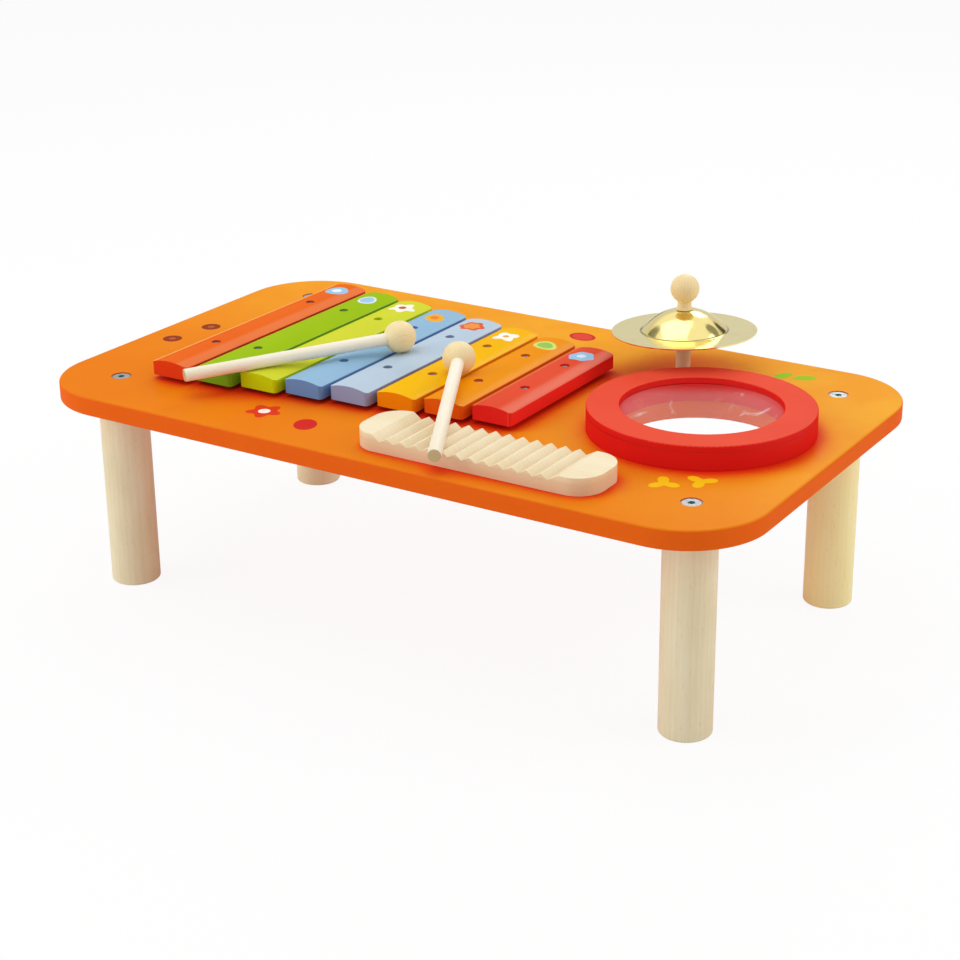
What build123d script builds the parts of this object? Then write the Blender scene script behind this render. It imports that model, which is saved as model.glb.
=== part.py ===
from build123d import *
import math
import os

# A wooden musical activity table for a small child. Millimetres, +Z up, and +X along the board's
# long side. The origin is on the floor under the middle of the board, and -Y is the player's side.

# Board. Its length is what it carries, side by side, with a margin at each end.
board_margin_left = 63.7  # left side of the board to the first bar
board_margin_right = 20.0  # drum to the right side of the board
board_width = 292.0
board_thickness = 12.5
board_corner_radius = 52.0
board_edge_radius = 1.5

# Legs, and the bolts that hold them
leg_diameter = 32.0
leg_length = 130.5
leg_inset_x = 43.0  # short side of the board to the leg's axis
leg_inset_y = 43.5  # long side of the board to the leg's axis
leg_foot_radius = 1.5
bolt_diameter = 6.0
bolt_length = 34.0
bolt_head_diameter = 12.4
bolt_head_rim = 0.8
bolt_socket_width = 4.0  # across flats
bolt_socket_depth = 2.2
bolt_recess = 0.4
bolt_point_chamfer = 0.75
bolt_hole_spare = 3.0  # depth of the leg's hole past the bolt's end
insert_diameter = 10.0
insert_length = 13.0

# Xylophone
bar_count = 8
bar_width = 28.5
bar_gap = 3.2
bar_side_height = 8.5
bar_crown_height = 10.7
bar_longest = 199.0
bar_shortest = 129.4
bar_corner_radius = 2.5
bar_edge_radius = 0.5
bars_set_back = 3.7  # middle of the bars, behind the middle of the board
felt_thickness = 3.0
felt_width = 10.0
felt_end_inset = 5.0
pin_spread_longest = 103.0  # between the two pins of the first bar
pin_spread_shortest = 49.0  # and of the last
pin_diameter = 3.0
pin_head_diameter = 5.0
pin_head_rim = 0.6
pin_head_dome = 0.8
pin_grip = 7.0  # depth of the pin in the board
bar_hole_diameter = 6.2
bar_hole_depth = 2.0

# Drum
drum_gap = 25.9  # last bar to the drum
drum_set_back = 3.0  # the drum's axis, behind the middle of the board
drum_diameter = 140.0
drum_opening = 99.5
drum_ring_height = 11.5
drum_hoop_height = 4.0
drum_edge_radius = 0.8
drum_seam_radius = 0.3
drum_hole_margin = 1.25  # the board's hole past the ring's opening, on the radius
skin_diameter = 126.0
skin_thickness = 0.3
drum_screw_count = 4
drum_screw_turn = 45.0  # degrees from the board's long side to the first screw

# Cymbal, its post and its knob
post_inset_x = 147.0  # right side of the board to the post
post_inset_y = 56.0  # rear side of the board to the post
post_diameter = 9.5
post_tenon_diameter = 6.0
post_depth = 8.0
cymbal_diameter = 94.0
cymbal_thickness = 0.8
cymbal_brim_height = 28.4  # board to the underside of the brim
bell_diameter = 56.0
bell_height = 13.5
bell_arc_radius = 34.0
bell_crown_diameter = 15.0
bell_foot_radius = 2.0
cymbal_hole_diameter = 7.5
washer_diameter = 14.0
washer_thickness = 2.0
washer_clearance = 0.3  # on the radius, about the tenon
cymbal_lean = 3.2  # degrees, as it lies loose on its post
cymbal_lean_heading = 147.5  # degrees, towards its low side
knob_height = 23.0
knob_ball_diameter = 18.6
knob_neck_diameter = 9.0
knob_foot_diameter = 10.4
knob_foot_rim = 0.8
knob_foot_height = 2.2
knob_bore_depth = 14.0

# Rasp board
rasp_length = 163.8
rasp_width = 44.5
rasp_thickness = 10.7
rasp_end_radius = 17.0
rasp_edge_radius = 0.6
rasp_inset_x = 92.2  # right side of the board to the rasp board's right end
rasp_inset_y = 15.8  # front side of the board to the rasp board's front side
groove_count = 13
groove_pitch = 9.5
groove_rise = 5.4  # length of a ridge's gentle side
groove_depth = 3.9
groove_start = 22.4  # left end of the rasp board to the lowest line of the first groove
ridge_drop = 1.0  # flat ends to the ridges' tips
ridge_tip_radius = 0.7
rasp_screw_inset = 11.0

# Mallets
mallet_head_diameter = 21.0
mallet_stick_diameter = 8.2
mallet_reach = 142.6  # middle of the head to the tail of the stick
mallet_socket_depth = 14.0
mallet_tail_radius = 0.7
first_mallet_bar = 4  # the bar under its head, counted from 0
first_mallet_prop = 2  # the bar under its stick
first_mallet_left = 11.4  # middle of its head, left of that bar's crown
first_mallet_front = 1.7  # and in front of the middle of the board
first_mallet_heading = -127.5  # degrees, from the head to the tail
second_mallet_bar = 5
second_mallet_right = 12.5
second_mallet_front = 17.0
second_mallet_heading = -62.9

# Wood screws driven from below
screw_diameter = 3.5
screw_length = 20.0
screw_head_diameter = 7.0
screw_point_length = 3.0
screw_tip_diameter = 0.7
screw_recess = 0.3

# Clearances
hole_clearance = 0.2  # on the radius, for a bolt, screw or pin that passes through
thread_clearance = 0.05
rest_gap = 0.3  # between pieces that only lie on each other
spin_gap = 0.1
rock_gap = 0.5  # between the cymbal, when level, and its knob

# Heights that several pieces share
board_underside = leg_length
board_top = board_underside + board_thickness
bar_underside = board_top + felt_thickness
skin_level = board_top + drum_ring_height - skin_thickness
hoop_top = board_top + drum_ring_height + drum_hoop_height
brim_underside = board_top + cymbal_brim_height
crown_top = brim_underside + cymbal_thickness + bell_height
washer_underside = crown_top - cymbal_thickness - spin_gap - washer_thickness
post_shoulder = washer_underside - rest_gap
knob_underside = crown_top + rock_gap
rasp_top = board_top + rasp_thickness

# Places that several pieces share
bar_pitch = bar_width + bar_gap
bars_span = bar_count * bar_pitch - bar_gap
board_length = board_margin_left + bars_span + drum_gap + drum_diameter + board_margin_right
first_bar_x = -board_length / 2 + board_margin_left + bar_width / 2
drum_place = (board_length / 2 - board_margin_right - drum_diameter / 2, drum_set_back)
post_place = (board_length / 2 - post_inset_x, board_width / 2 - post_inset_y)
rasp_place = (
    board_length / 2 - rasp_inset_x - rasp_length / 2,
    -board_width / 2 + rasp_inset_y + rasp_width / 2,
)
leg_corners = {
    "front_left": (-1, -1),
    "front_right": (1, -1),
    "rear_right": (1, 1),
    "rear_left": (-1, 1),
}
drum_screw_circle = (drum_diameter + drum_opening) / 4
crown_radius = (
    (bar_width / 2) ** 2 + (bar_crown_height - bar_side_height) ** 2
) / (2 * (bar_crown_height - bar_side_height))


def leg_place(corner):
    side_x, side_y = leg_corners[corner]
    return (
        side_x * (board_length / 2 - leg_inset_x),
        side_y * (board_width / 2 - leg_inset_y),
    )


def bar_share(index):
    return index / (bar_count - 1) if bar_count > 1 else 0.0


def bar_x(index):
    return first_bar_x + index * bar_pitch


def bar_length(index):
    return bar_longest + (bar_shortest - bar_longest) * bar_share(index)


def pin_places(index):
    spread = pin_spread_longest + (pin_spread_shortest - pin_spread_longest) * bar_share(index)
    return [(bar_x(index), bars_set_back + side * spread / 2) for side in (-1, 1)]


def all_pin_places():
    return [place for index in range(bar_count) for place in pin_places(index)]


def drum_screw_places():
    places = []
    for number in range(drum_screw_count):
        turn = math.radians(drum_screw_turn + 360 * number / drum_screw_count)
        x = drum_place[0] + drum_screw_circle * math.cos(turn)
        y = drum_place[1] + drum_screw_circle * math.sin(turn)
        places.append((x, y))
    return places


def rasp_screw_places():
    reach = rasp_length / 2 - rasp_screw_inset
    return [(rasp_place[0] + side * reach, rasp_place[1]) for side in (-1, 1)]


def ridge_places():
    """The lines of the rasp board's ridge tips, across the board's long side."""
    first = rasp_place[0] - rasp_length / 2 + groove_start + groove_rise
    return [first + number * groove_pitch for number in range(groove_count - 1)]


def leaning(piece):
    """The piece as it leans with the loose cymbal, about the middle of the washer's underside."""
    heading = math.radians(cymbal_lean_heading)
    low_line = (-math.sin(heading), math.cos(heading), 0)
    return piece.rotate(Axis((*post_place, washer_underside), low_line), cymbal_lean)


def upright(radius, height, x, y, z):
    return Pos(x, y, z) * Cylinder(radius, height, align=(Align.CENTER, Align.CENTER, Align.MIN))


def turned(face):
    """A solid turned about the Z axis from a face drawn on the XZ plane."""
    return revolve(face, Axis.Z, 360)


def dome_arc(radius, base, height):
    """The arc of a shallow dome from its rim to its top on the Z axis, drawn on the XZ plane."""
    sphere = (radius**2 + height**2) / (2 * height)
    half_turn = math.asin(radius / sphere) / 2
    middle = (
        sphere * math.sin(half_turn),
        base + height - sphere * (1 - math.cos(half_turn)),
    )
    return ThreePointArc((radius, base), middle, (0, base + height))


def countersink(radius, shank_radius, z, downwards):
    """The cone under a flat head, widest at z."""
    height = radius - shank_radius
    if downwards:
        return Pos(0, 0, z - height / 2) * Cone(shank_radius, radius, height)
    return Pos(0, 0, z + height / 2) * Cone(radius, shank_radius, height)


def bolt_hole():
    """The space of a leg bolt in the board, about the Z axis."""
    radius = bolt_head_diameter / 2 + hole_clearance
    shank = bolt_diameter / 2 + hole_clearance
    seat = board_top - bolt_recess - bolt_head_rim
    hole = upright(shank, board_thickness, 0, 0, board_underside)
    hole += countersink(radius, shank, seat, True)
    hole += upright(radius, board_top - seat, 0, 0, seat)
    return hole


def screw_hole():
    """The space of a wood screw in the board, about the Z axis."""
    radius = screw_head_diameter / 2 + hole_clearance
    shank = screw_diameter / 2 + hole_clearance
    seat = board_underside + screw_recess
    hole = upright(shank, board_thickness, 0, 0, board_underside)
    hole += countersink(radius, shank, seat, False)
    hole += upright(radius, screw_recess, 0, 0, board_underside)
    return hole


def tabletop():
    outline = RectangleRounded(board_length, board_width, board_corner_radius)
    board = Pos(0, 0, board_underside) * extrude(outline, board_thickness)
    board -= upright(
        drum_opening / 2 + drum_hole_margin, board_thickness, *drum_place, board_underside
    )
    rims = board.faces().sort_by(Axis.Z)[-1].outer_wire().edges()
    rims += board.faces().sort_by(Axis.Z)[0].edges()
    board = fillet(rims, board_edge_radius)
    for corner in leg_corners:
        board -= Pos(*leg_place(corner), 0) * bolt_hole()
    for place in drum_screw_places() + rasp_screw_places():
        board -= Pos(*place, 0) * screw_hole()
    board -= Pos(*post_place, 0) * screw_hole()
    board -= upright(post_diameter / 2, post_depth, *post_place, board_top - post_depth)
    for place in all_pin_places():
        board -= upright(pin_diameter / 2, pin_grip, *place, board_top - pin_grip)
    return board


def leg(corner):
    post = upright(leg_diameter / 2, leg_length, 0, 0, 0)
    post = fillet(post.edges().sort_by(Axis.Z)[0], leg_foot_radius)
    end = board_top - bolt_recess - bolt_length - bolt_hole_spare
    post -= upright(bolt_diameter / 2 + hole_clearance, leg_length - end, 0, 0, end)
    post -= upright(insert_diameter / 2, insert_length, 0, 0, leg_length - insert_length)
    return Pos(*leg_place(corner), 0) * post


def leg_insert(corner):
    bottom = leg_length - insert_length
    sleeve = upright(insert_diameter / 2, insert_length, 0, 0, bottom)
    sleeve -= upright(bolt_diameter / 2 + thread_clearance, insert_length, 0, 0, bottom)
    return Pos(*leg_place(corner), 0) * sleeve


def leg_bolt(corner):
    top = board_top - bolt_recess
    seat = top - bolt_head_rim
    tip = top - bolt_length
    bolt = upright(bolt_diameter / 2, bolt_length - bolt_head_rim, 0, 0, tip)
    bolt = chamfer(bolt.edges().sort_by(Axis.Z)[0], bolt_point_chamfer)
    bolt += countersink(bolt_head_diameter / 2, bolt_diameter / 2, seat, True)
    bolt += upright(bolt_head_diameter / 2, bolt_head_rim, 0, 0, seat)
    socket = RegularPolygon(bolt_socket_width / 2, 6, major_radius=False)
    bolt -= Pos(0, 0, top - bolt_socket_depth) * extrude(socket, bolt_socket_depth)
    return Pos(*leg_place(corner), 0) * bolt


def bar_outline(index):
    """The bar seen from above."""
    return RectangleRounded(bar_width, bar_length(index), bar_corner_radius)


def bar_section():
    """The bar seen from its end, with a flat underside and an arched top."""
    half = bar_width / 2
    arch = ThreePointArc((half, bar_side_height), (0, bar_crown_height), (-half, bar_side_height))
    sides = Polyline(
        (-half, bar_side_height), (-half, 0), (half, 0), (half, bar_side_height)
    )
    section = make_face(Plane.XZ * (arch + sides))
    long_edges = section.vertices().sort_by(Axis.Z)[-2:]
    return fillet(long_edges, bar_edge_radius)


def xylophone_bar(index):
    length = bar_length(index)
    stick = extrude(bar_section(), length / 2, both=True)
    stick &= extrude(bar_outline(index), bar_crown_height)
    bar = Pos(bar_x(index), bars_set_back, bar_underside) * stick
    crown = bar_underside + bar_crown_height
    for place in pin_places(index):
        shank = pin_diameter / 2 + hole_clearance
        bar -= upright(shank, bar_crown_height, *place, bar_underside)
        bar -= upright(bar_hole_diameter / 2, bar_hole_depth, *place, crown - bar_hole_depth)
    return bar


def bar_pin(place):
    seat = bar_underside + bar_crown_height - bar_hole_depth
    tip = board_top - pin_grip
    head_radius = pin_head_diameter / 2
    rim = seat + pin_head_rim
    outline = Curve() + [
        Polyline((0, rim + pin_head_dome), (0, seat), (head_radius, seat), (head_radius, rim)),
        dome_arc(head_radius, rim, pin_head_dome),
    ]
    head = turned(make_face(Plane.XZ * outline))
    return Pos(*place, 0) * (head + upright(pin_diameter / 2, seat - tip, 0, 0, tip))


def felt_strip(side):
    """The strip under the front (0) or rear (1) pins, from under the first bar to the last."""
    first = pin_places(0)[side]
    last = pin_places(bar_count - 1)[side]
    slope = (last[1] - first[1]) / (last[0] - first[0])
    left = first[0] - bar_width / 2 + felt_end_inset
    right = last[0] + bar_width / 2 - felt_end_inset
    left_y = first[1] + slope * (left - first[0])
    right_y = last[1] + slope * (right - last[0])
    half = felt_width / 2
    outline = Polygon(
        (left, left_y - half),
        (right, right_y - half),
        (right, right_y + half),
        (left, left_y + half),
        align=None,
    )
    strip = Pos(0, 0, board_top) * extrude(outline, felt_thickness)
    for index in range(bar_count):
        place = pin_places(index)[side]
        strip -= upright(pin_diameter / 2 + hole_clearance, felt_thickness, *place, board_top)
    return strip


def ring(height, base, top_radius, bottom_radius):
    """A drum ring between two heights, with its outer edges rounded."""
    band = upright(drum_diameter / 2, height, 0, 0, base)
    band -= upright(drum_opening / 2, height, 0, 0, base)
    band = fillet(band.faces().sort_by(Axis.Z)[-1].edges(), top_radius)
    outer = band.faces().sort_by(Axis.Z)[0].outer_wire().edges()
    band = fillet(outer, bottom_radius)
    return band


def drum_ring():
    band = ring(drum_ring_height, board_top, drum_seam_radius, drum_seam_radius)
    recess = skin_diameter / 2 + thread_clearance
    band -= upright(recess, skin_thickness, 0, 0, skin_level)
    band = Pos(*drum_place, 0) * band
    for place in drum_screw_places():
        band -= Pos(*place, 0) * wood_screw()
    return band


def drum_hoop():
    base = board_top + drum_ring_height
    return Pos(*drum_place, 0) * ring(drum_hoop_height, base, drum_edge_radius, drum_seam_radius)


def drum_skin():
    return upright(skin_diameter / 2, skin_thickness, *drum_place, skin_level)


def wood_screw():
    """A countersunk screw driven upwards, head at the board's underside, about the Z axis."""
    seat = board_underside + screw_recess
    straight = screw_length - screw_point_length
    screw = upright(screw_diameter / 2, straight, 0, 0, seat)
    screw += countersink(screw_head_diameter / 2, screw_diameter / 2, seat, False)
    point = Cone(screw_diameter / 2, screw_tip_diameter / 2, screw_point_length)
    screw += Pos(0, 0, seat + straight + screw_point_length / 2) * point
    return screw


def cymbal_post():
    foot = board_top - post_depth
    dowel = upright(post_diameter / 2, post_shoulder - foot, 0, 0, foot)
    tenon_top = knob_underside + knob_bore_depth - rest_gap
    dowel += upright(post_tenon_diameter / 2, tenon_top - post_shoulder, 0, 0, post_shoulder)
    dowel -= wood_screw()
    return Pos(*post_place, 0) * dowel


def cymbal_washer():
    bore = post_tenon_diameter / 2 + washer_clearance
    washer = upright(washer_diameter / 2, washer_thickness, 0, 0, washer_underside)
    washer -= upright(bore, washer_thickness, 0, 0, washer_underside)
    return leaning(Pos(*post_place, 0) * washer)


def cymbal():
    """Thin brass turned to a wide flat brim and a round bell, with a flat crown at its hole."""
    hole = cymbal_hole_diameter / 2
    crown = bell_crown_diameter / 2
    bell = bell_diameter / 2
    rim = cymbal_diameter / 2
    brim = brim_underside + cymbal_thickness
    crown_side = [
        Line((hole, crown_top), (crown, crown_top)),
        RadiusArc((crown, crown_top), (bell, brim), bell_arc_radius),
        Line((bell, brim), (rim, brim)),
    ]
    upper = Wire(crown_side).fillet_2d(bell_foot_radius, Wire(crown_side).vertices()[2:3])
    under = upper.moved(Location((0, -cymbal_thickness)))
    ends = [
        Line(upper @ 0, under @ 0),
        Line(upper @ 1, under @ 1),
    ]
    face = make_face(Plane.XZ * (Curve() + upper.edges() + under.edges() + ends))
    return leaning(Pos(*post_place, 0) * turned(face))


def cymbal_knob():
    """A turned knob: a ball on a neck that widens to a foot."""
    foot = knob_foot_diameter / 2
    neck = knob_neck_diameter / 2
    ball = knob_ball_diameter / 2
    top = knob_underside + knob_height
    centre = top - ball
    join = centre - math.sqrt(ball**2 - neck**2)
    foot_top = knob_underside + knob_foot_height
    outline = Curve() + [
        Line((0, knob_underside), (foot, knob_underside)),
        Line((foot, knob_underside), (foot, knob_underside + knob_foot_rim)),
        Line((foot, knob_underside + knob_foot_rim), (neck, foot_top)),
        Line((neck, foot_top), (neck, join)),
        ThreePointArc((neck, join), (ball, centre), (0, top)),
        Line((0, top), (0, knob_underside)),
    ]
    knob = turned(make_face(Plane.XZ * outline))
    knob -= upright(post_tenon_diameter / 2, knob_bore_depth, 0, 0, knob_underside)
    return Pos(*post_place, 0) * knob


def rasp_board():
    """A round-ended board whose long section holds a row of saw-tooth ridges."""
    half = rasp_length / 2
    tip = rasp_thickness - ridge_drop
    valley = rasp_thickness - groove_depth
    gradient = (tip - valley) / groove_rise
    last_low = -half + groove_start + (groove_count - 1) * groove_pitch
    section = [(-half, 0), (half, 0), (half, rasp_thickness)]
    section.append((last_low + groove_depth / gradient, rasp_thickness))
    section.append((last_low, valley))
    for x in reversed(ridge_places()):
        section.append((x - rasp_place[0], tip))
        section.append((x - rasp_place[0] - groove_rise, valley))
    fall = (groove_pitch - groove_rise) * groove_depth / (tip - valley)
    section.append((-half + groove_start - fall, rasp_thickness))
    section.append((-half, rasp_thickness))
    profile = make_face(Plane.XZ * Polyline(*section, close=True))
    tips = profile.vertices().group_by(Axis.Z)[-2]
    profile = fillet(tips, ridge_tip_radius)
    board = extrude(profile, rasp_width / 2, both=True)
    board &= extrude(RectangleRounded(rasp_length, rasp_width, rasp_end_radius), rasp_thickness)
    board = Pos(*rasp_place, board_top) * board
    for place in rasp_screw_places():
        board -= Pos(*place, 0) * wood_screw()
    return board


def head_height(offset):
    """Height of a mallet's head that lies on a bar, this far across from the bar's crown."""
    axis = bar_underside + bar_crown_height - crown_radius
    reach = crown_radius + mallet_head_diameter / 2 + rest_gap
    return axis + math.sqrt(reach**2 - offset**2)


def slope_over(run, drop, radius):
    """Angle down from level of a line that starts drop above a round's axis and just clears it."""
    return math.atan2(drop, run) - math.asin(radius / math.hypot(run, drop))


def first_mallet_slope():
    """Its stick lies across the crown of a bar."""
    heading = math.radians(first_mallet_heading)
    run = (first_mallet_bar - first_mallet_prop) * bar_pitch - first_mallet_left
    drop = head_height(first_mallet_left) - (bar_underside + bar_crown_height - crown_radius)
    across = slope_over(run, drop, crown_radius + mallet_stick_diameter / 2 + rest_gap)
    return math.degrees(math.atan(math.tan(across) * abs(math.cos(heading))))


def second_mallet_slope():
    """Its stick lies on the ridges, and the one that it meets first holds it."""
    heading = math.radians(second_mallet_heading)
    start_x = bar_x(second_mallet_bar) + second_mallet_right
    start_y = -second_mallet_front
    front = rasp_place[1] - rasp_width / 2
    drop = head_height(second_mallet_right) - (rasp_top - ridge_drop)
    radius = mallet_stick_diameter / 2 + rest_gap
    slopes = []
    for x in ridge_places():
        y = max(start_y + (x - start_x) * math.tan(heading), front)
        run = (x - start_x) * math.cos(heading) + (y - start_y) * math.sin(heading)
        aside = (y - start_y) * math.cos(heading) - (x - start_x) * math.sin(heading)
        if abs(aside) < radius and y < rasp_place[1] + rasp_width / 2:
            slopes.append(slope_over(run, drop, math.sqrt(radius**2 - aside**2)))
    return math.degrees(min(slopes))


def mallet_location(x, y, offset, heading, slope):
    """The head's middle, with +X along the stick towards its tail."""
    return Pos(x, y, head_height(offset)) * Rot(0, 0, heading) * Rot(0, slope, 0)


def mallet_stick():
    start = mallet_head_diameter / 2 - mallet_socket_depth
    length = mallet_reach - start
    stick = Rot(0, 90, 0) * Cylinder(
        mallet_stick_diameter / 2, length, align=(Align.CENTER, Align.CENTER, Align.MIN)
    )
    stick = fillet(stick.edges().sort_by(Axis.X)[-1], mallet_tail_radius)
    return Pos(start, 0, 0) * stick


def mallet_head():
    ball = Sphere(mallet_head_diameter / 2)
    start = mallet_head_diameter / 2 - mallet_socket_depth
    socket = Rot(0, 90, 0) * Cylinder(
        mallet_stick_diameter / 2,
        mallet_socket_depth + rest_gap,
        align=(Align.CENTER, Align.CENTER, Align.MIN),
    )
    return ball - Pos(start - rest_gap, 0, 0) * socket


first_mallet = mallet_location(
    bar_x(first_mallet_bar) - first_mallet_left,
    -first_mallet_front,
    first_mallet_left,
    first_mallet_heading,
    first_mallet_slope(),
)
second_mallet = mallet_location(
    bar_x(second_mallet_bar) + second_mallet_right,
    -second_mallet_front,
    second_mallet_right,
    second_mallet_heading,
    second_mallet_slope(),
)

pieces = {
    "tabletop": [tabletop()],
    "leg_bolts": [leg_bolt(corner) for corner in leg_corners],
    "leg_inserts": [leg_insert(corner) for corner in leg_corners],
    "bar_pins": [bar_pin(place) for place in all_pin_places()],
    "front_felt_strip": [felt_strip(0)],
    "rear_felt_strip": [felt_strip(1)],
    "drum_ring": [drum_ring()],
    "drum_hoop": [drum_hoop()],
    "drum_skin": [drum_skin()],
    "drum_screws": [Pos(*place, 0) * wood_screw() for place in drum_screw_places()],
    "cymbal_post": [cymbal_post()],
    "cymbal_post_screw": [Pos(*post_place, 0) * wood_screw()],
    "cymbal_washer": [cymbal_washer()],
    "cymbal": [cymbal()],
    "cymbal_knob": [cymbal_knob()],
    "rasp_board": [rasp_board()],
    "rasp_board_screws": [Pos(*place, 0) * wood_screw() for place in rasp_screw_places()],
    "first_mallet_stick": [first_mallet * mallet_stick()],
    "first_mallet_head": [first_mallet * mallet_head()],
    "second_mallet_stick": [second_mallet * mallet_stick()],
    "second_mallet_head": [second_mallet * mallet_head()],
}
for corner in leg_corners:
    pieces[f"leg_{corner}"] = [leg(corner)]
for index in range(bar_count):
    pieces[f"xylophone_bar_{index + 1}"] = [xylophone_bar(index)]

os.makedirs("parts", exist_ok=True)
for name, shapes in pieces.items():
    solids = [solid for shape in shapes for solid in shape.solids()]
    piece = solids[0] if len(solids) == 1 else Compound(children=solids)
    export_step(piece, f"parts/{name}.step")
    print(name, len(solids))
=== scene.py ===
import bpy
import bmesh
import math
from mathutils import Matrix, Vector, noise


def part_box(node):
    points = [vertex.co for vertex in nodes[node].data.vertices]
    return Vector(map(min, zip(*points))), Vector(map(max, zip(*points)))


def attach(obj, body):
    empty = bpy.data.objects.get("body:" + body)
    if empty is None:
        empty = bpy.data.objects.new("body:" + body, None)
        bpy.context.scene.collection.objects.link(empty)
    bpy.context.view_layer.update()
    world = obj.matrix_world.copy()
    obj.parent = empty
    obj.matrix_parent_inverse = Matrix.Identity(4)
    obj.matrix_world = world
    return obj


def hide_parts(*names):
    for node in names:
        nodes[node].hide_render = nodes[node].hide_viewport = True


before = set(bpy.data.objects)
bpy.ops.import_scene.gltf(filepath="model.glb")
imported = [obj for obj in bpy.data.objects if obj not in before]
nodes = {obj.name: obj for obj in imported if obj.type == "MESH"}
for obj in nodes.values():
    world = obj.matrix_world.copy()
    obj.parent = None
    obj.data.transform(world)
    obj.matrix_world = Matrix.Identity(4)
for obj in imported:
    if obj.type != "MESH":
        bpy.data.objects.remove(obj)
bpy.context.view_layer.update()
print("frame loaded,", len(nodes), "pieces")


def colour(red, green, blue):
    # a screen colour (0-255) as Blender's linear values
    def linear(part):
        share = part / 255
        return share / 12.92 if share <= 0.04045 else ((share + 0.055) / 1.055) ** 2.4
    return (linear(red), linear(green), linear(blue), 1)


def newFinish(name):
    finish = bpy.data.materials.new(name)
    finish.use_nodes = True
    finish.node_tree.nodes.clear()
    return finish, finish.node_tree


def add(tree, kind, values=None, **settings):
    made = tree.nodes.new(kind)
    for key, value in settings.items():
        setattr(made, key, value)
    for key, value in (values or {}).items():
        if isinstance(value, bpy.types.NodeSocket):
            tree.links.new(value, made.inputs[key])
        else:
            made.inputs[key].default_value = value
    return made


def maths(tree, operation, first, second=0.0, clamp=False):
    return add(tree, "ShaderNodeMath", {0: first, 1: second}, operation=operation,
               use_clamp=clamp).outputs[0]


def mixColour(tree, share, first, second):
    made = tree.nodes.new("ShaderNodeMix")
    made.data_type = "RGBA"
    sockets = [s for s in made.inputs if s.enabled]
    for socket, value in zip(sockets, (share, first, second)):
        if isinstance(value, bpy.types.NodeSocket):
            tree.links.new(value, socket)
        else:
            socket.default_value = value
    return [s for s in made.outputs if s.enabled][0]


def ramp(tree, value, low, high, toLow=0.0, toHigh=1.0):
    # a smooth step from toLow to toHigh while value goes from low to high
    return add(tree, "ShaderNodeMapRange", {"Value": value, "From Min": low, "From Max": high,
               "To Min": toLow, "To Max": toHigh}, interpolation_type="SMOOTHSTEP").outputs[0]


def place(tree, centre=(0, 0, 0), turn=(0, 0, 0)):
    # object coordinates as seen from a piece's own centre, turned with it
    spot = add(tree, "ShaderNodeTexCoord").outputs["Object"]
    return add(tree, "ShaderNodeMapping", {"Vector": spot, "Location": centre,
               "Rotation": turn}, vector_type="TEXTURE").outputs[0]


def stretched(tree, spot, amount):
    return add(tree, "ShaderNodeMapping", {"Vector": spot, "Scale": amount},
               vector_type="POINT").outputs[0]


def speckle(tree, spot, scale, detail=2.0, rough=0.5, twist=0.0):
    return add(tree, "ShaderNodeTexNoise", {"Vector": spot, "Scale": scale, "Detail": detail,
               "Roughness": rough, "Distortion": twist}).outputs[0]


def bump(tree, height, distance):
    return add(tree, "ShaderNodeBump", {"Height": height, "Distance": distance}).outputs[0]


def band(tree, value, middle, half, soft):
    # 1 within half of the middle, fading to 0 over soft
    away = maths(tree, "ABSOLUTE", maths(tree, "SUBTRACT", value, middle))
    return ramp(tree, away, half, half + soft, 1.0, 0.0)


def heightOf(tree, spot):
    return add(tree, "ShaderNodeSeparateXYZ", {0: spot}).outputs[2]


def upwardness(tree):
    # 1 on faces that look up, 0 on the sides
    return heightOf(tree, add(tree, "ShaderNodeTexCoord").outputs["Normal"])


def surface(tree, values):
    shader = add(tree, "ShaderNodeBsdfPrincipled", values)
    add(tree, "ShaderNodeOutputMaterial", {"Surface": shader.outputs[0]})


def dress(name, finish):
    piece = nodes[name]
    piece.data.materials.clear()
    piece.data.materials.append(finish)


# half the width of a print's soft edge, in metres
inkEdge = 0.00025


# printed motifs are plain shapes, worked out from a spot's distance to a middle
def motifSpot(tree, middle, turn):
    local = place(tree, (middle[0], middle[1], 0), (0, 0, math.radians(turn)))
    parts = add(tree, "ShaderNodeSeparateXYZ", {0: local})
    return parts.outputs[0], parts.outputs[1]


def petalMask(tree, middle, size, petals, depth, turn=0, squeeze=1.0):
    # a disc whose rim swells into petals; no petals gives an oval
    across, along = motifSpot(tree, middle, turn)
    across = maths(tree, "MULTIPLY", across, squeeze)
    reach = maths(tree, "SQRT", maths(tree, "ADD", maths(tree, "MULTIPLY", across, across),
                                      maths(tree, "MULTIPLY", along, along)))
    angle = maths(tree, "ARCTAN2", along, across)
    wave = maths(tree, "COSINE", maths(tree, "MULTIPLY", angle, float(petals)))
    rim = maths(tree, "ADD", size, maths(tree, "MULTIPLY", wave, size * depth))
    return ramp(tree, maths(tree, "SUBTRACT", reach, rim), -inkEdge, inkEdge, 1.0, 0.0)


def printMotifs(tree, base, motifs):
    # lays each motif's colours over the base, and returns the colour and the ink's outline
    ink = None
    for motif in motifs:
        for layer in motif["layers"]:
            mask = petalMask(tree, motif["at"], layer["size"], layer.get("petals", 0),
                             layer.get("depth", 0.0), motif.get("turn", 0), layer.get("squeeze", 1.0))
            base = mixColour(tree, mask, base, colour(*layer["colour"]))
            ink = mask if ink is None else maths(tree, "MAXIMUM", ink, mask)
    return base, ink


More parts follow.
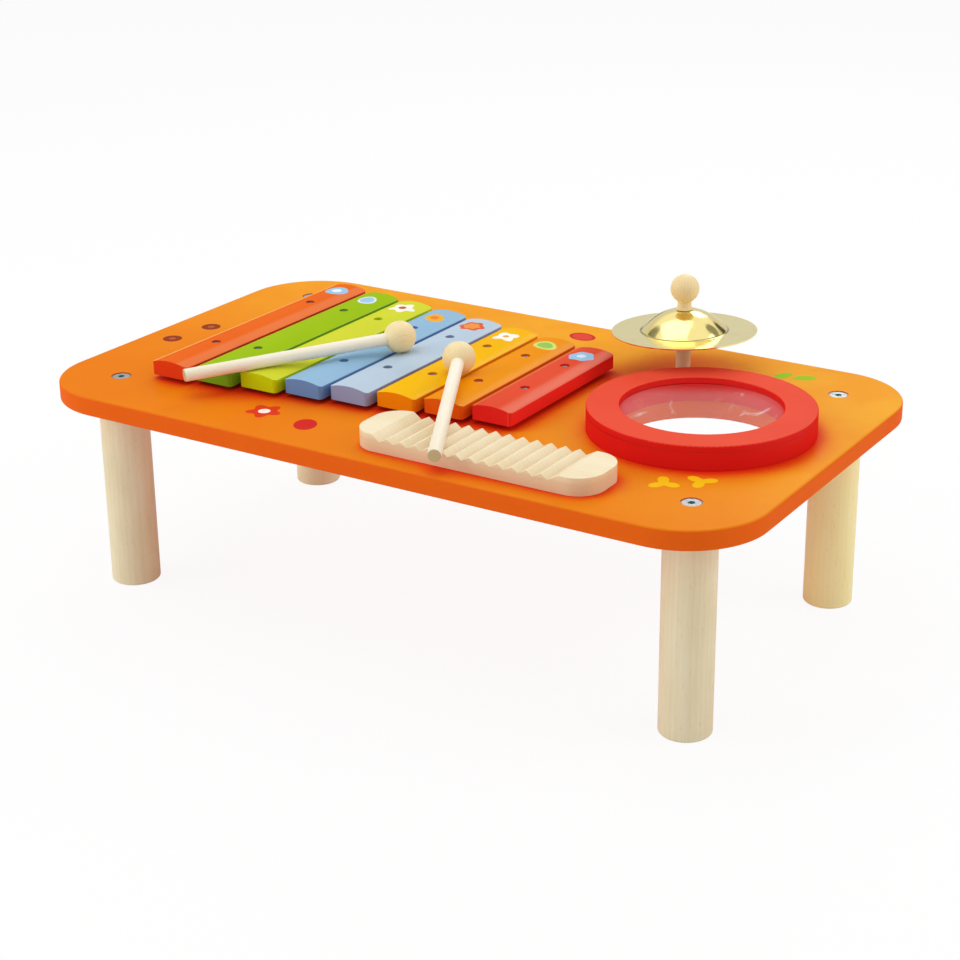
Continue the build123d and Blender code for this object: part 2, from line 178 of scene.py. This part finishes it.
def paintedWood(name, paint, motifs=(), grainTurn=0.0):
    finish, tree = newFinish(name)
    spot = place(tree, turn=(0, 0, math.radians(grainTurn)))
    top = colour(*paint["top"])
    if "far" in paint:  # painted light: the board turns lighter and yellower away from the player's left corner, as if lit more strongly there
        start, end = paint["fade"]
        here = add(tree, "ShaderNodeSeparateXYZ", {0: spot})
        way = maths(tree, "ADD", here.outputs[1], maths(tree, "MULTIPLY", here.outputs[0], 0.25))
        top = mixColour(tree, ramp(tree, way, start, end), top, colour(*paint["far"]))
    deep = colour(*paint["deep"])
    upward = upwardness(tree)
    # the sides take a deeper colour than the top: partly deeper paint on the end grain, partly painted shade
    shade = mixColour(tree, ramp(tree, upward, *paint["topEdge"]), colour(*paint["side"]), top)
    slow = speckle(tree, spot, 16, 3)
    tone = mixColour(tree, ramp(tree, slow, 0.38, 0.66, 0.0, paint.get("mottle", 0.16)), shade, deep)
    fibre = speckle(tree, stretched(tree, spot, (9, 170, 170)), 1.0, 4, 0.6)
    tone = mixColour(tree, ramp(tree, fibre, 0.55, 0.8, 0.0, paint.get("grain", 0.1)), tone, deep)
    if "shadeRed" in paint:  # painted shade: the board turns a deeper red where what stands on it shades it, judged by an occlusion test leaning towards the light
        way = add(tree, "ShaderNodeCombineXYZ", dict(enumerate(paint["shadeLightWay"]))).outputs[0]
        opening = add(tree, "ShaderNodeAmbientOcclusion", {"Distance": paint["shadeReach"], "Normal": way},
                      samples=8).outputs["AO"]
        paintedShadeShare = maths(tree, "MULTIPLY", ramp(tree, opening, *paint["shadeSpan"], 1.0, 0.0),
                       ramp(tree, upward, 0.5, 0.9))
        tone = mixColour(tree, paintedShadeShare, tone, colour(*paint["shadeRed"]))
    if "arrisWearAndHighlight" in paint:  # pale lines along the rounded edges, partly thin worn paint and partly painted highlight; a painted highlight line on the left edge and a painted sheen on the right of the crown
        facing = add(tree, "ShaderNodeTexCoord").outputs["Normal"]
        sideways = add(tree, "ShaderNodeSeparateXYZ", {0: facing}).outputs[0]
        wornEdgeAndHighlight = maths(tree, "MULTIPLY", band(tree, upward, *paint["arrisBand"]), paint["arrisWearAndHighlight"])
        leftHighlightShare = maths(tree, "MULTIPLY", ramp(tree, upward, 0.5, 0.8),
                     ramp(tree, sideways, *paint["leftHighlightBand"], paint["leftHighlight"], 0.0))
        tone = mixColour(tree, leftHighlightShare, tone, colour(*paint["highlightTint"]))
        paintedSheenShare = maths(tree, "MULTIPLY", band(tree, sideways, *paint["crownSheenBand"]), paint["crownSheen"])
        tone = mixColour(tree, maths(tree, "MAXIMUM", wornEdgeAndHighlight, paintedSheenShare), tone, colour(*paint["pale"]))
    if "seam" in paint:  # the dark line where the drum's two rings meet, with painted shade making it plainest at the left
        line = band(tree, heightOf(tree, spot), paint["seam"], 0.0001, 0.0004)
        sideways = add(tree, "ShaderNodeSeparateXYZ", {0: spot}).outputs[0]
        line = maths(tree, "MULTIPLY", line, ramp(tree, sideways, *paint["seamSpan"], *paint["seamShadeShares"]))
        tone = mixColour(tree, line, tone, colour(*paint["crevice"]))
    tone, ink = printMotifs(tree, tone, motifs)
    stipple = speckle(tree, spot, 620, 2)
    height = maths(tree, "ADD", maths(tree, "MULTIPLY", stipple, 0.35), maths(tree, "MULTIPLY", fibre, 0.65))
    if ink is not None:
        height = maths(tree, "ADD", height, maths(tree, "MULTIPLY", ink, 0.5))
    rub = speckle(tree, spot, 75, 4, 0.6)
    dull = ramp(tree, rub, 0.35, 0.7, paint["rough"] - 0.04, paint["rough"] + 0.07)
    surface(tree, {"Base Color": tone, "Roughness": dull, "Normal": bump(tree, height, paint["relief"]),
                   "Coat Weight": paint["coat"], "Coat Roughness": paint["coatRough"],
                   "Specular IOR Level": 0.0})  # the coat alone carries the paint's gloss
    return finish


# the board's far colour is painted light: lighter towards the rear, as if lit more there
boardPaint = {"top": (230, 126, 14), "far": (239, 166, 40), "fade": (-0.16, 0.13), "side": (228, 94, 12),
              "deep": (228, 106, 12), "rough": 0.5, "relief": 0.00006, "coat": 0.12, "coatRough": 0.34,
              "mottle": 0.22, "grain": 0.08, "topEdge": (0.2, 0.9), "shadeRed": (226, 50, 16), "shadeReach": 0.042,
              "shadeLightWay": (-0.36, 0.36, 0.86), "shadeSpan": (0.42, 0.79)}

# bar colours: the side colour is partly the bar's deeper paint and partly painted shade
barPaints = [
    {"top": (230, 102, 20), "side": (222, 64, 26), "deep": (212, 74, 12), "crownSheen": 0.07,
     "leftHighlight": 0.5},
    {"top": (156, 190, 8), "side": (112, 168, 34), "deep": (126, 172, 8), "leftHighlight": 0.12},
    {"top": (208, 212, 52), "side": (194, 220, 10), "deep": (188, 198, 34)},
    {"top": (146, 184, 212), "side": (104, 146, 198), "deep": (110, 160, 200)},
    {"top": (184, 202, 218), "side": (144, 160, 198), "deep": (164, 184, 206)},
    {"top": (242, 184, 6), "side": (238, 140, 12), "deep": (236, 164, 4)},
    {"top": (236, 148, 10), "side": (228, 98, 20), "deep": (228, 124, 8)},
    {"top": (224, 78, 48), "side": (238, 46, 40), "deep": (206, 46, 30), "crownSheen": 0.08,
     "leftHighlight": 0.15},
]
# bar finish: the pale arris lines are partly worn paint and partly painted highlight; the left line and the
# bloom are painted highlights
barFinish = {"rough": 0.42, "relief": 0.00005, "coat": 0.1, "coatRough": 0.2, "topEdge": (0.5, 0.9),
             "pale": (255, 242, 208), "arrisWearAndHighlight": 0.13, "arrisBand": (0.62, 0.2, 0.12), "leftHighlight": 0.0,
             "leftHighlightBand": (-0.25, -0.21), "highlightTint": (255, 214, 120), "crownSheen": 0.0,
             "crownSheenBand": (0.22, 0.04, 0.1)}

drumPaint = {"top": (230, 80, 56), "side": (222, 32, 28), "deep": (208, 42, 32), "rough": 0.45,
             "relief": 0.00004, "coat": 0.1, "coatRough": 0.26, "topEdge": (0.6, 0.95),
             "crevice": (146, 10, 10), "seamShadeShares": (0.75, 0.15), "seamStop": 0.04}

# what is printed near the rear end of each bar: layers from the outside in, metres
barMotifs = [
    {"turn": 0, "layers": [{"size": 0.0082, "colour": (150, 196, 226)},
                           {"size": 0.0036, "colour": (226, 238, 244)}]},
    {"turn": 20, "layers": [{"size": 0.0082, "squeeze": 1.25, "colour": (222, 232, 240)},
                            {"size": 0.0064, "squeeze": 1.25, "colour": (160, 198, 228)}]},
    {"turn": 0, "layers": [{"size": 0.0082, "petals": 5, "depth": 0.2, "colour": (244, 240, 228)},
                           {"size": 0.0028, "colour": (196, 84, 56)}]},
    {"turn": 35, "layers": [{"size": 0.0084, "squeeze": 1.3, "colour": (240, 172, 46)},
                            {"size": 0.0038, "squeeze": 1.3, "colour": (232, 132, 50)}]},
    {"turn": 10, "layers": [{"size": 0.0084, "petals": 6, "depth": 0.1, "colour": (220, 96, 54)},
                            {"size": 0.0056, "petals": 6, "depth": 0.1, "colour": (238, 148, 70)}]},
    {"turn": 45, "layers": [{"size": 0.0076, "petals": 4, "depth": 0.22, "colour": (248, 244, 234)},
                            {"size": 0.0022, "colour": (236, 160, 70)}]},
    {"turn": 60, "layers": [{"size": 0.0092, "squeeze": 1.3, "colour": (208, 222, 120)},
                            {"size": 0.0062, "squeeze": 1.3, "colour": (150, 196, 90)}]},
    {"turn": 0, "layers": [{"size": 0.0084, "petals": 6, "depth": 0.06, "colour": (152, 196, 228)},
                           {"size": 0.0030, "petals": 6, "depth": 0.1, "colour": (214, 230, 240)}]},
]

# rear end of a bar to its print, for even and for odd bars
motifBacks = (0.019, 0.0165)

# small prints on the board
boardMotifs = [
    {"at": (-0.229, -0.026), "turn": 15, "layers": [{"size": 0.0066, "colour": (146, 58, 30)},
                                                    {"size": 0.0024, "colour": (184, 92, 50)}]},
    {"at": (-0.223, 0.008), "turn": 50, "layers": [{"size": 0.0066, "colour": (146, 58, 30)},
                                                   {"size": 0.0024, "colour": (184, 92, 50)}]},
    {"at": (-0.086, -0.108), "turn": 0, "layers": [
        {"size": 0.0098, "petals": 5, "depth": 0.2, "colour": (218, 58, 28)},
        {"size": 0.0038, "colour": (246, 236, 220)}]},
    {"at": (-0.050, -0.114), "turn": 30, "layers": [{"size": 0.0094, "squeeze": 1.3, "colour": (208, 40, 34)}]},
    {"at": (0.010, 0.121), "turn": 75, "layers": [
        {"size": 0.0100, "squeeze": 1.3, "colour": (198, 50, 30)},
        {"size": 0.0078, "squeeze": 1.3, "colour": (220, 70, 58)}]},
    {"at": (0.162, 0.117), "turn": -20, "layers": [{"size": 0.0076, "squeeze": 1.8, "colour": (150, 198, 34)}]},
    {"at": (0.176, 0.120), "turn": -55, "layers": [{"size": 0.0076, "squeeze": 1.8, "colour": (150, 198, 34)}]},
    {"at": (0.181, -0.086), "turn": 0, "layers": [
        {"size": 0.0066, "petals": 3, "depth": 0.5, "colour": (244, 190, 24)}]},
    {"at": (0.198, -0.073), "turn": 40, "layers": [
        {"size": 0.0066, "petals": 3, "depth": 0.5, "colour": (244, 190, 24)}]},
]


def paintTheBoard():
    dress("tabletop", paintedWood("orangeBoardPaint", boardPaint, boardMotifs))


def paintTheBars():
    for number, paint in enumerate(barPaints, 1):
        name = "xylophone_bar_%d" % number
        low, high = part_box(name)
        back = motifBacks[number % 2]
        motif = dict(barMotifs[number - 1], at=((low.x + high.x) / 2, high.y - back))
        look = dict(barFinish, **paint)
        dress(name, paintedWood("barPaint%d" % number, look, [motif], 90))


def paintTheDrum():
    low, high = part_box("drum_hoop")
    look = dict(drumPaint, seam=low.z, seamSpan=(low.x, high.x - drumPaint["seamStop"]))
    for name in ("drum_ring", "drum_hoop"):
        dress(name, paintedWood(name + "Paint", look))


woodLook = {"pale": (234, 223, 190), "dark": (213, 192, 144), "fleck": (186, 154, 104), "end": (196, 170, 122),
            "ringGap": 0.0034, "pith": (0.0, 0.011, -0.017), "grooveShadeShare": 0.26, "endSkin": 0.0009}
warmWood = dict(woodLook, pale=(244, 230, 172), dark=(236, 212, 138))
ballWood = dict(woodLook, pale=(244, 226, 176), dark=(228, 196, 132), ringGap=0.002)
raspWood = dict(woodLook, pale=(242, 228, 194), dark=(226, 204, 158), fleck=(206, 160, 108))
stickWood = dict(woodLook, pale=(246, 240, 222), dark=(232, 218, 184), fleck=(212, 190, 148), ringGap=0.0026)

# below the rasp board's top, where the painted shade in its grooves is darkest and where it stops
grooveShadeDepths = (0.0045, 0.0005)

# a wave texture's rings are this far apart at a scale of 1, in metres
waveGap = 0.314


# bare wood has its grain along the piece's own length; cut is how far off its sawn end is, and
# grooves the heights of a low and a high place, with painted shade darkening the low one
def bareWood(name, centre, turn, look=woodLook, cut=None, shadedGrooves=None):
    finish, tree = newFinish(name)
    spot = place(tree, centre, turn)
    offset = add(tree, "ShaderNodeVectorMath", {0: spot, 1: look["pith"]}, operation="ADD").outputs[0]
    sway = speckle(tree, stretched(tree, spot, (14, 60, 60)), 1.0, 2)
    swayed = add(tree, "ShaderNodeVectorMath", {0: offset, 1: add(tree, "ShaderNodeCombineXYZ", {
        1: maths(tree, "MULTIPLY", sway, 0.004), 2: maths(tree, "MULTIPLY", sway, 0.003)}).outputs[0]},
        operation="ADD").outputs[0]
    rings = add(tree, "ShaderNodeTexWave", {"Vector": swayed, "Scale": waveGap / look["ringGap"],
                "Distortion": 0.6, "Detail": 2.0, "Detail Scale": 1.2}, wave_type="RINGS",
                rings_direction="X", wave_profile="SAW").outputs["Fac"]
    fibre = speckle(tree, stretched(tree, spot, (45, 1500, 1500)), 1.0, 3, 0.6)
    flecks = speckle(tree, stretched(tree, spot, (190, 1500, 1500)), 1.0, 1, 0.5)
    slow = speckle(tree, stretched(tree, spot, (12, 40, 40)), 1.0, 2)
    share = maths(tree, "ADD", maths(tree, "MULTIPLY", ramp(tree, rings, 0.1, 1.0), 0.13),
                  maths(tree, "MULTIPLY", ramp(tree, fibre, 0.35, 0.75), 0.16))
    share = maths(tree, "ADD", share, ramp(tree, slow, 0.35, 0.7, 0.0, 0.34), True)
    tone = mixColour(tree, share, colour(*look["pale"]), colour(*look["dark"]))
    tone = mixColour(tree, ramp(tree, flecks, 0.66, 0.76, 0.0, 0.3), tone, colour(*look["fleck"]))
    if shadedGrooves is not None:
        # painted shade: the wood darkens towards the bottoms of the grooves and down the board's sides
        sunk = ramp(tree, heightOf(tree, place(tree)), *shadedGrooves, look["grooveShadeShare"], 0.0)
        tone = mixColour(tree, sunk, tone, colour(*look["fleck"]))
    if cut is not None:
        reach = add(tree, "ShaderNodeSeparateXYZ", {0: spot}).outputs[0]
        tone = mixColour(tree, ramp(tree, reach, cut - look["endSkin"], cut - 0.0002), tone,
                         colour(*look["end"]))
    height = maths(tree, "ADD", maths(tree, "MULTIPLY", fibre, 0.7), maths(tree, "MULTIPLY", rings, 0.3))
    dull = ramp(tree, fibre, 0.3, 0.75, 0.44, 0.6)
    surface(tree, {"Base Color": tone, "Roughness": dull, "Normal": bump(tree, height, 0.00007),
                   "Coat Weight": 0.08, "Coat Roughness": 0.35, "Specular IOR Level": 0.3})
    return finish


def middleOf(name):
    low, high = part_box(name)
    return (low + high) / 2


def turnWoodenPieces():
    upright = (0, math.radians(-90), 0)
    for number, corner in enumerate(("front_left", "front_right", "rear_right", "rear_left")):
        name = "leg_" + corner
        spin = math.radians(70 * number)
        look = warmWood if corner == "rear_right" else woodLook
        dress(name, bareWood(name + "Wood", middleOf(name), (spin, math.radians(-90), 0), look))
    dress("cymbal_post", bareWood("postWood", middleOf("cymbal_post"), upright))
    dress("cymbal_knob", bareWood("knobWood", middleOf("cymbal_knob"), upright, ballWood))
    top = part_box("rasp_board")[1].z
    dress("rasp_board", bareWood("raspWood", middleOf("rasp_board"), (math.radians(20), 0, 0), raspWood,
                                 shadedGrooves=(top - grooveShadeDepths[0], top - grooveShadeDepths[1])))
    for which in ("first", "second"):
        head, stick = which + "_mallet_head", which + "_mallet_stick"
        ball = middleOf(head)
        tail = max([Vector(v.co) for v in nodes[stick].data.vertices], key=lambda spot: (spot - ball).length)
        along = (tail - ball).normalized()
        heading = math.atan2(along.y, along.x)
        dip = math.asin(-along.z)
        turn = (0, dip, heading)
        dress(stick, bareWood(stick + "Wood", ball, turn, stickWood, (tail - ball).length))
        dress(head, bareWood(head + "Wood", ball, turn, ballWood))


brass = {"colour": (238, 223, 155), "bell": (240, 221, 145), "tarnish": (206, 178, 104), "rough": 0.13,
         "lineGap": 0.00045, "lineDepth": 0.0000035, "lean": (3.2, 147.5), "foot": 0.0283,
         "crevice": (96, 84, 34), "creaseShare": 0.65}


def polishTheCymbal():
    finish, tree = newFinish("polishedBrass")
    middle = middleOf("cymbal_post")
    lean, heading = (math.radians(part) for part in brass["lean"])
    tilt = Vector((-math.sin(heading), math.cos(heading), 0))
    spot = place(tree, (middle.x, middle.y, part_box("cymbal_washer")[0].z))
    turned = add(tree, "ShaderNodeVectorRotate", {"Vector": spot, "Axis": tilt, "Angle": -lean},
                 rotation_type="AXIS_ANGLE").outputs[0]
    lines = add(tree, "ShaderNodeTexWave", {"Vector": turned, "Scale": waveGap / brass["lineGap"],
                "Distortion": 0.4, "Detail": 1.0}, wave_type="RINGS", rings_direction="Z").outputs["Fac"]
    cloud = speckle(tree, turned, 45, 4, 0.6)
    smudge = speckle(tree, turned, 160, 3, 0.6)
    parts = add(tree, "ShaderNodeSeparateXYZ", {0: turned})
    reach = maths(tree, "SQRT", maths(tree, "ADD", maths(tree, "MULTIPLY", parts.outputs[0], parts.outputs[0]),
                                      maths(tree, "MULTIPLY", parts.outputs[1], parts.outputs[1])))
    tone = mixColour(tree, ramp(tree, reach, brass["foot"] - 0.001, brass["foot"]), colour(*brass["bell"]),
                     colour(*brass["colour"]))
    tone = mixColour(tree, ramp(tree, cloud, 0.5, 0.8, 0.0, 0.35), tone, colour(*brass["tarnish"]))
    crease = maths(tree, "MULTIPLY", band(tree, reach, brass["foot"], 0.0003, 0.0006),
                   brass["creaseShare"])
    tone = mixColour(tree, crease, tone, colour(*brass["crevice"]))  # a thin dark ring at the bell's foot
    dull = maths(tree, "ADD", ramp(tree, smudge, 0.4, 0.75, 0.0, 0.07), brass["rough"] - 0.02)
    surface(tree, {"Base Color": tone, "Metallic": 1.0, "Roughness": dull,
                   "Normal": bump(tree, lines, brass["lineDepth"])})
    dress("cymbal", finish)


zinc = {"colour": (170, 174, 176), "dark": (124, 134, 144), "socket": (96, 206, 200), "socketDepth": 0.0009,
        "rim": (112, 116, 120), "rimShadeWidth": 0.0011, "pin": (118, 116, 114), "rough": 0.34}


def platedMetal(name, bright, dark):
    finish, tree = newFinish(name)
    spot = place(tree)
    grain = speckle(tree, spot, 700, 3, 0.6)
    cloud = speckle(tree, spot, 260, 2)
    tone = mixColour(tree, ramp(tree, cloud, 0.4, 0.72, 0.0, 0.5), colour(*bright), colour(*dark))
    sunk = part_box("leg_bolts")[1].z - zinc["socketDepth"]
    if name == "boltZinc":  # the plating shows blue down in the sockets; the grey ring round each head is painted shade on its rounded rim
        tone = mixColour(tree, ramp(tree, heightOf(tree, spot), sunk - 0.0004, sunk, 1.0, 0.0), tone,
                         colour(*zinc["socket"]))
        corner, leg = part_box("leg_bolts")[1], middleOf("leg_rear_right")
        radius = corner.x - leg.x
        parts = add(tree, "ShaderNodeSeparateXYZ", {0: spot})
        sides = [maths(tree, "SUBTRACT", maths(tree, "ABSOLUTE", part), away)
                 for part, away in zip(parts.outputs[:2], (leg.x, leg.y))]
        reach = maths(tree, "SQRT", maths(tree, "ADD", maths(tree, "MULTIPLY", sides[0], sides[0]),
                                          maths(tree, "MULTIPLY", sides[1], sides[1])))
        tone = mixColour(tree, ramp(tree, reach, radius - zinc["rimShadeWidth"], radius - 0.0004), tone,
                         colour(*zinc["rim"]))
    dull = ramp(tree, grain, 0.3, 0.75, zinc["rough"] - 0.08, zinc["rough"] + 0.14)
    surface(tree, {"Base Color": tone, "Metallic": 1.0, "Roughness": dull,
                   "Normal": bump(tree, grain, 0.00002)})
    return finish


def plateTheFasteners():
    dress("leg_bolts", platedMetal("boltZinc", zinc["colour"], zinc["dark"]))
    dress("bar_pins", platedMetal("pinSteel", zinc["pin"], zinc["pin"]))
    screwZinc = platedMetal("screwZinc", zinc["colour"], zinc["dark"])
    for name in ("leg_inserts", "drum_screws", "cymbal_post_screw", "rasp_board_screws"):
        dress(name, screwZinc)


felt = {"colour": (206, 98, 84), "shade": (170, 66, 54)}


def cutTheFelt():
    finish, tree = newFinish("pressedFelt")
    spot = place(tree)
    tangle = speckle(tree, spot, 900, 5, 0.75, 1.2)
    lumps = speckle(tree, spot, 190, 3)
    tone = mixColour(tree, ramp(tree, tangle, 0.35, 0.7), colour(*felt["shade"]), colour(*felt["colour"]))
    height = maths(tree, "ADD", tangle, maths(tree, "MULTIPLY", lumps, 0.6))
    surface(tree, {"Base Color": tone, "Roughness": 0.95, "Normal": bump(tree, height, 0.00025),
                   "Sheen Weight": 0.4, "Sheen Roughness": 0.5})
    for name in ("front_felt_strip", "rear_felt_strip", "cymbal_washer"):
        dress(name, finish)


# the drum's clear skin is a thin film with fine pulls and creases
film = {"spokes": 160, "hoops": 60, "wrinkle": 0.00022, "clamped": 0.0495, "flatFrom": 0.055,
        "tint": (0.93, 0.92, 0.93, 1), "rimPaintedReflection": 0.09, "streakVeil": 0.24, "veil": 0.02, "clearTurn": 27,
        "clearSpan": (0.026, 0.048)}


def filmHeight(x, y):
    reach = math.hypot(x, y)
    fade = max(0.0, 1 - (reach / film["clamped"]) ** 6)
    angle = math.atan2(y, x)
    pull = noise.noise(Vector((math.cos(angle) * 3.1, math.sin(angle) * 3.1, reach * 14)))
    crease = noise.noise(Vector((x * 62 + y * 21, y * 18 - x * 7, 4.0)))
    fine = noise.noise(Vector((x * 150, y * 95, 9.0)))
    return fade * film["wrinkle"] * (0.9 * pull * reach / film["clamped"] + 0.8 * crease + 0.25 * fine)


def stretchTheSkin():
    low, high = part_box("drum_skin")
    middle, radius = (low + high) / 2, (high.x - low.x) / 2
    sheet = bmesh.new()
    centre = sheet.verts.new((0, 0, 0))
    rim = sheet.verts.new((radius, 0, 0))
    spoke = sheet.edges.new((centre, rim))
    bmesh.ops.subdivide_edges(sheet, edges=[spoke], cuts=film["hoops"] - 1)
    bmesh.ops.spin(sheet, geom=sheet.verts[:] + sheet.edges[:], cent=(0, 0, 0), axis=(0, 0, 1),
                   angle=math.tau, steps=film["spokes"], use_merge=True)
    bmesh.ops.remove_doubles(sheet, verts=sheet.verts[:], dist=0.000002)
    bmesh.ops.recalc_face_normals(sheet, faces=sheet.faces[:])
    for vert in sheet.verts:
        vert.co.z = filmHeight(vert.co.x, vert.co.y)
    bmesh.ops.solidify(sheet, geom=sheet.faces[:], thickness=high.z - low.z - 0.0001)
    bmesh.ops.recalc_face_normals(sheet, faces=sheet.faces[:])
    zs = [v.co.z for v in sheet.verts if math.hypot(v.co.x, v.co.y) > film["flatFrom"]]
    lift = middle.z - (min(zs) + max(zs)) / 2
    bmesh.ops.translate(sheet, verts=sheet.verts[:], vec=(middle.x, middle.y, lift))
    mesh = bpy.data.meshes.new("drumFilm")
    sheet.to_mesh(mesh)
    sheet.free()
    for face in mesh.polygons:
        face.use_smooth = True
    piece = bpy.data.objects.new("drum_film", mesh)
    bpy.context.scene.collection.objects.link(piece)
    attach(piece, "table")
    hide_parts("drum_skin")

    finish, tree = newFinish("clearFilm")
    spot = place(tree, (middle.x, middle.y, 0))
    creases = speckle(tree, stretched(tree, spot, (60, 20, 20)), 1.0, 5, 0.62, 1.4)
    streaks = ramp(tree, creases, 0.60, 0.74)
    rimward = add(tree, "ShaderNodeLayerWeight", {"Blend": 0.35}).outputs["Facing"]
    turned = place(tree, (middle.x, middle.y, 0), (0, 0, math.radians(film["clearTurn"])))
    across = add(tree, "ShaderNodeSeparateXYZ", {0: turned}).outputs[1]
    clearing = ramp(tree, across, *film["clearSpan"], 1.0, 0.1)  # the whole veil, painted reflection included, clears towards the rear of the hoop
    # the white veil is partly the film's own haze along its creases and partly painted reflection, strongest
    # towards the rim
    veil = maths(tree, "ADD", maths(tree, "MULTIPLY", rimward, film["rimPaintedReflection"]),
                 maths(tree, "MULTIPLY", streaks, film["streakVeil"]))
    veil = maths(tree, "MULTIPLY", maths(tree, "ADD", veil, film["veil"]), clearing, True)
    surface(tree, {"Base Color": film["tint"], "Roughness": 0.09, "Alpha": veil,
                   "Normal": bump(tree, creases, 0.0004), "Specular IOR Level": 0.5})
    mesh.materials.append(finish)


# what shiny pieces mirror: the low and the high part of the studio, the heights between which it
# turns over, and its dark cards (azimuth, elevation and half width in degrees, and how dark)
room = {"sky": 0.62, "low": 0.76, "high": 1.1, "floor": (0.93, 0.93, 0.93, 1), "size": 14, "glow": 0.9,
        "turnOver": (0.36, 0.56), "cardEdge": 0.005,
        "cards": [{"at": (-179, 31), "half": 13, "dark": 0.72}, {"at": (77, 9), "half": 8, "dark": 0.86},
                  {"at": (77, 21), "half": 8, "dark": 0.86}, {"at": (56, 40), "half": 12, "dark": 0.7},
                  {"at": (131, -3), "half": 8, "dark": 0.8}]}


def setTheRoom():
    world = bpy.data.worlds.new("paleRoom")
    bpy.context.scene.world = world
    world.use_nodes = True
    tree = world.node_tree
    tree.nodes.clear()
    way = add(tree, "ShaderNodeTexCoord").outputs["Generated"]
    mirrored = ramp(tree, heightOf(tree, way), *room["turnOver"], room["low"], room["high"])
    for card in room["cards"]:
        heading, rise = (math.radians(part) for part in card["at"])
        facing = (math.cos(heading) * math.cos(rise), math.sin(heading) * math.cos(rise), math.sin(rise))
        near = add(tree, "ShaderNodeVectorMath", {0: way, 1: facing}, operation="DOT_PRODUCT").outputs["Value"]
        rim = math.cos(math.radians(card["half"]))
        dark = ramp(tree, near, rim - room["cardEdge"], rim + room["cardEdge"], 0.0, card["dark"])
        mirrored = maths(tree, "MULTIPLY", mirrored, maths(tree, "SUBTRACT", 1.0, dark))
    rays = add(tree, "ShaderNodeLightPath")
    seen = maths(tree, "MAXIMUM", rays.outputs["Is Camera Ray"], rays.outputs["Is Transmission Ray"])
    glossy = add(tree, "ShaderNodeMapRange", {"Value": rays.outputs["Is Glossy Ray"], "To Min": room["sky"],
                 "To Max": mirrored}).outputs[0]
    strength = add(tree, "ShaderNodeMapRange", {"Value": seen, "To Min": glossy, "To Max": 1.0}).outputs[0]
    sky = add(tree, "ShaderNodeBackground", {"Color": (1, 1, 1, 1), "Strength": strength})
    add(tree, "ShaderNodeOutputWorld", {"Surface": sky.outputs[0]})

    bpy.ops.mesh.primitive_plane_add(size=room["size"])
    floor = bpy.context.object
    floor.name = "floor"
    finish, tree = newFinish("paleFloor")
    rays = add(tree, "ShaderNodeLightPath")
    matt = add(tree, "ShaderNodeBsdfDiffuse", {"Color": room["floor"]})
    glow = add(tree, "ShaderNodeEmission", {"Color": (1, 1, 1, 1), "Strength": 1.0})
    lift = maths(tree, "MULTIPLY", rays.outputs["Is Camera Ray"], room["glow"])
    both = add(tree, "ShaderNodeMixShader", {0: lift, 1: matt.outputs[0], 2: glow.outputs[0]})
    add(tree, "ShaderNodeOutputMaterial", {"Surface": both.outputs[0]})
    floor.data.materials.append(finish)


lamps = [
    {"name": "topSoftbox", "at": (-0.35, -0.1, 1.7), "size": 1.5, "power": 8},
    {"name": "leftSoftbox", "at": (-1.4, -1.2, 0.8), "size": 1.1, "power": 11},
    {"name": "rightSoftbox", "at": (1.35, 0.55, 0.85), "size": 0.9, "power": 6},
    {"name": "backSoftbox", "at": (-0.31, 1.64, 1.26), "size": 0.6, "power": 5},
]

lampAim = (0.0, 0.0, 0.14)


def hangTheLamps():
    for lamp in lamps:
        light = bpy.data.lights.new(lamp["name"], "AREA")
        light.shape = "SQUARE"
        light.size = lamp["size"]
        light.energy = lamp["power"]
        holder = bpy.data.objects.new(lamp["name"], light)
        bpy.context.scene.collection.objects.link(holder)
        holder.location = lamp["at"]
        aim = Vector(lampAim) - Vector(lamp["at"])
        holder.rotation_euler = aim.to_track_quat("-Z", "Y").to_euler()


camera = {"at": (0.6726, -1.0469, 0.5830), "down": 21.02, "heading": 30.81, "lens": 77.14,
          "shiftX": -0.0625, "shiftY": -0.0417}


def setTheCamera():
    lens = bpy.data.cameras.new("camera")
    lens.lens = camera["lens"]
    lens.sensor_width = 36
    lens.shift_x = camera["shiftX"]
    lens.shift_y = camera["shiftY"]
    holder = bpy.data.objects.new("camera", lens)
    bpy.context.scene.collection.objects.link(holder)
    holder.location = camera["at"]
    holder.rotation_euler = (math.radians(90 - camera["down"]), 0, math.radians(camera["heading"]))
    bpy.context.scene.camera = holder
    bpy.context.scene.view_settings.view_transform = "Standard"


paintTheBoard()
paintTheBars()
paintTheDrum()
print("paint done")
turnWoodenPieces()
print("wood done")
polishTheCymbal()
plateTheFasteners()
cutTheFelt()
print("metal and felt done")
stretchTheSkin()
print("drum skin done")
setTheRoom()
hangTheLamps()
setTheCamera()
print("room, lamps and camera done")
